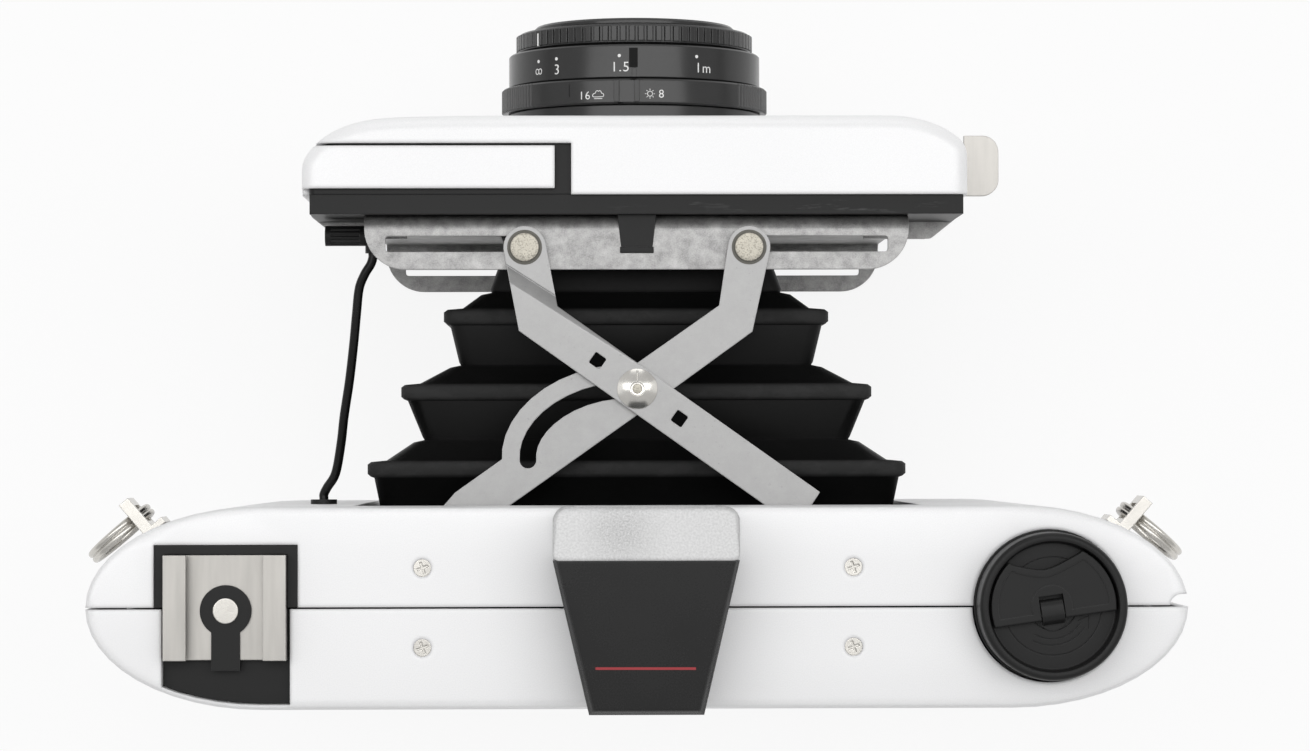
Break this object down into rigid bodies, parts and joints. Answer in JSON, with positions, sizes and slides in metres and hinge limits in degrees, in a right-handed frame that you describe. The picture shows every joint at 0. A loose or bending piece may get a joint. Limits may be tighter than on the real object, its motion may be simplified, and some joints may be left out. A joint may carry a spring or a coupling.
{
  "type": "folding bellows camera",
  "caption": "Folding roll-film camera, panoramic frame: wide round-ended body, bellows and front standard on crossed steel struts, lens in front, finder, shoe and winding knob on top.",
  "frame": {"origin": "mouth of the tripod socket, on the base plane", "axes": "+Z is the top of the camera, the lens looks along -Y, +X is the longest extent, towards the accessory shoe"},
  "size_m": [0.1894, 0.1195, 0.105],
  "materials": {
    "silver_paint": "satin",
    "hood_metal": "satin",
    "black_plastic": "satin",
    "latch_metal": "satin",
    "steel_sheet": "satin",
    "nickel": "polished",
    "bellows_skin": "matt",
    "cable": "matt",
    "clear_glass": "polished",
    "red_glass": "polished"
  },
  "bodies": {
    "camera_body": {"front_shell": "silver_paint", "film_gate": "black_plastic", "shoe_insert": "black_plastic", "shoe_plate": "steel_sheet", "shoe_insulator": "black_plastic", "shoe_contact": "nickel", "knob_cup": "black_plastic", "case_screws": "nickel", "strap_lugs": "nickel", "tripod_bush": "nickel", "strut_posts": "nickel", "spool_pins": "nickel", "hinge_pin": "nickel", "finder_housing": "black_plastic", "finder_hood": "hood_metal", "finder_window": "clear_glass", "finder_eyepiece": "clear_glass", "bellows": "bellows_skin", "lead": "cable", "lead_grommet": "black_plastic"},
    "ring_left": {"ring_left": "nickel"},
    "ring_right": {"ring_right": "nickel"},
    "back": {"back_door": "silver_paint", "door_floor": "black_plastic", "door_screws": "nickel", "pressure_plate": "black_plastic", "plate_springs": "steel_sheet", "red_windows": "red_glass"},
    "window_slider": {"window_slider": "black_plastic"},
    "door_latch": {"door_latch": "latch_metal"},
    "advance_knob": {"advance_knob": "black_plastic", "crank_pin": "nickel"},
    "crank_tab": {"crank_tab": "black_plastic"},
    "takeup_spool": {"takeup_spool": "black_plastic"},
    "supply_spool": {"supply_spool": "black_plastic"},
    "standard": {"front_cover": "silver_paint", "standard_base": "black_plastic", "rail_bracket": "steel_sheet", "cover_clips": "black_plastic", "coin_cells": "nickel", "lens_barrel": "black_plastic", "rear_lens": "clear_glass", "sync_plug": "nickel"},
    "battery_hatch": {"battery_hatch": "silver_paint"},
    "shutter_lever": {"shutter_lever": "latch_metal"},
    "shutter_blade": {"shutter_blade": "black_plastic"},
    "aperture_ring": {"aperture_ring": "black_plastic"},
    "focus_ring": {"focus_ring": "black_plastic"},
    "front_cell": {"bezel": "black_plastic", "front_lens": "clear_glass"},
    "strut_a_top": {"strut_a_top": "steel_sheet", "strut_a_top_rivets": "nickel"},
    "strut_b_top": {"strut_b_top": "steel_sheet", "strut_b_top_rivet": "nickel"},
    "strut_a_low": {"strut_a_low": "steel_sheet", "strut_a_low_rivets": "nickel"},
    "strut_b_low": {"strut_b_low": "steel_sheet", "strut_b_low_rivet": "nickel"}
  },
  "joints": [
    {"name": "fold", "type": "slide", "parent": "camera_body", "child": "standard", "axis": [0, 1, 0], "range_m": [0, 0.041], "deforming": ["bellows", "lead"]},
    {"name": "strut_a_top_turn", "type": "hinge", "parent": "camera_body", "child": "strut_a_top", "pos_m": [-0.0384, 0.0036, 0.0836], "axis": [0, 0, 1], "range_deg": [0, 34]},
    {"name": "strut_b_top_turn", "type": "hinge", "parent": "camera_body", "child": "strut_b_top", "pos_m": [0.0384, 0.0036, 0.0821], "axis": [0, 0, -1], "range_deg": [0, 34]},
    {"name": "strut_a_low_turn", "type": "hinge", "parent": "camera_body", "child": "strut_a_low", "pos_m": [-0.0384, 0.0036, 0.0064], "axis": [0, 0, 1], "range_deg": [0, 34]},
    {"name": "strut_b_low_turn", "type": "hinge", "parent": "camera_body", "child": "strut_b_low", "pos_m": [0.0384, 0.0036, 0.0079], "axis": [0, 0, -1], "range_deg": [0, 34]},
    {"name": "back_hinge", "type": "hinge", "parent": "camera_body", "child": "back", "pos_m": [-0.091, 0.0086, 0.045], "axis": [0, 0, 1], "range_deg": [0, 95]},
    {"name": "window_slide", "type": "slide", "parent": "back", "child": "window_slider", "axis": [1, 0, 0], "range_m": [0, 0.015]},
    {"name": "latch_slide", "type": "slide", "parent": "back", "child": "door_latch", "axis": [0, 0, 1], "range_m": [0, 0.005], "stiffness_N_per_m": 300, "springref_m": -0.002},
    {"name": "knob_turn", "type": "hinge", "parent": "camera_body", "child": "advance_knob", "pos_m": [-0.06875, 0.0084, 0.093], "axis": [0, 0, 1], "continuous": true},
    {"name": "spool_turn", "type": "hinge", "parent": "camera_body", "child": "takeup_spool", "pos_m": [-0.06875, 0.0084, 0.045], "axis": [0, 0, 1], "continuous": true},
    {"name": "supply_turn", "type": "hinge", "parent": "camera_body", "child": "supply_spool", "pos_m": [0.06875, 0.0084, 0.045], "axis": [0, 0, 1], "continuous": true},
    {"name": "crank_fold", "type": "hinge", "parent": "advance_knob", "child": "crank_tab", "pos_m": [-0.06892, 0.00959, 0.09605], "axis": [-0.9898, -0.1426, 0], "range_deg": [0, 125]},
    {"name": "hatch_slide", "type": "slide", "parent": "standard", "child": "battery_hatch", "axis": [1, 0, 0], "range_m": [0, 0.014]},
    {"name": "shutter_press", "type": "hinge", "parent": "standard", "child": "shutter_lever", "pos_m": [-0.048, -0.0664, 0.058], "axis": [0, -1, 0], "range_deg": [0, 8], "stiffness_Nm_per_rad": 0.05, "springref_deg": -5.73},
    {"name": "blade_swing", "type": "hinge", "parent": "standard", "child": "shutter_blade", "pos_m": [0.012, -0.0706, 0.045], "axis": [0, 1, 0], "range_deg": [0, 60], "stiffness_Nm_per_rad": 0.001, "springref_deg": -28.65},
    {"name": "aperture_turn", "type": "hinge", "parent": "standard", "child": "aperture_ring", "pos_m": [0, -0.0798, 0.045], "axis": [0, -1, 0], "range_deg": [0, 24]},
    {"name": "focus_turn", "type": "hinge", "parent": "standard", "child": "focus_ring", "pos_m": [0, -0.0902, 0.045], "axis": [0, -1, 0], "range_deg": [0, 80]},
    {"name": "cell_slide", "type": "slide", "parent": "standard", "child": "front_cell", "axis": [0, -1, 0], "range_m": [0, 0.0025]},
    {"name": "ring_left_turn", "type": "hinge", "parent": "camera_body", "child": "ring_left", "pos_m": [0.08912, -0.00347, 0.06503], "axis": [-0.6561, 0.7547, 0], "continuous": true},
    {"name": "ring_right_turn", "type": "hinge", "parent": "camera_body", "child": "ring_right", "pos_m": [-0.08912, -0.00347, 0.06503], "axis": [0.6561, 0.7547, 0], "continuous": true}
  ],
  "couplings": [
    {"joint": "strut_a_top_turn", "follows": "fold", "rad_per_m": 14.26},
    {"joint": "strut_a_low_turn", "follows": "fold", "rad_per_m": 14.26},
    {"joint": "strut_b_top_turn", "follows": "fold", "rad_per_m": 14.26},
    {"joint": "strut_b_low_turn", "follows": "fold", "rad_per_m": 14.26},
    {"joint": "spool_turn", "follows": "knob_turn", "ratio": 1},
    {"joint": "cell_slide", "follows": "focus_turn", "m_per_rad": 0.0016}
  ]
}
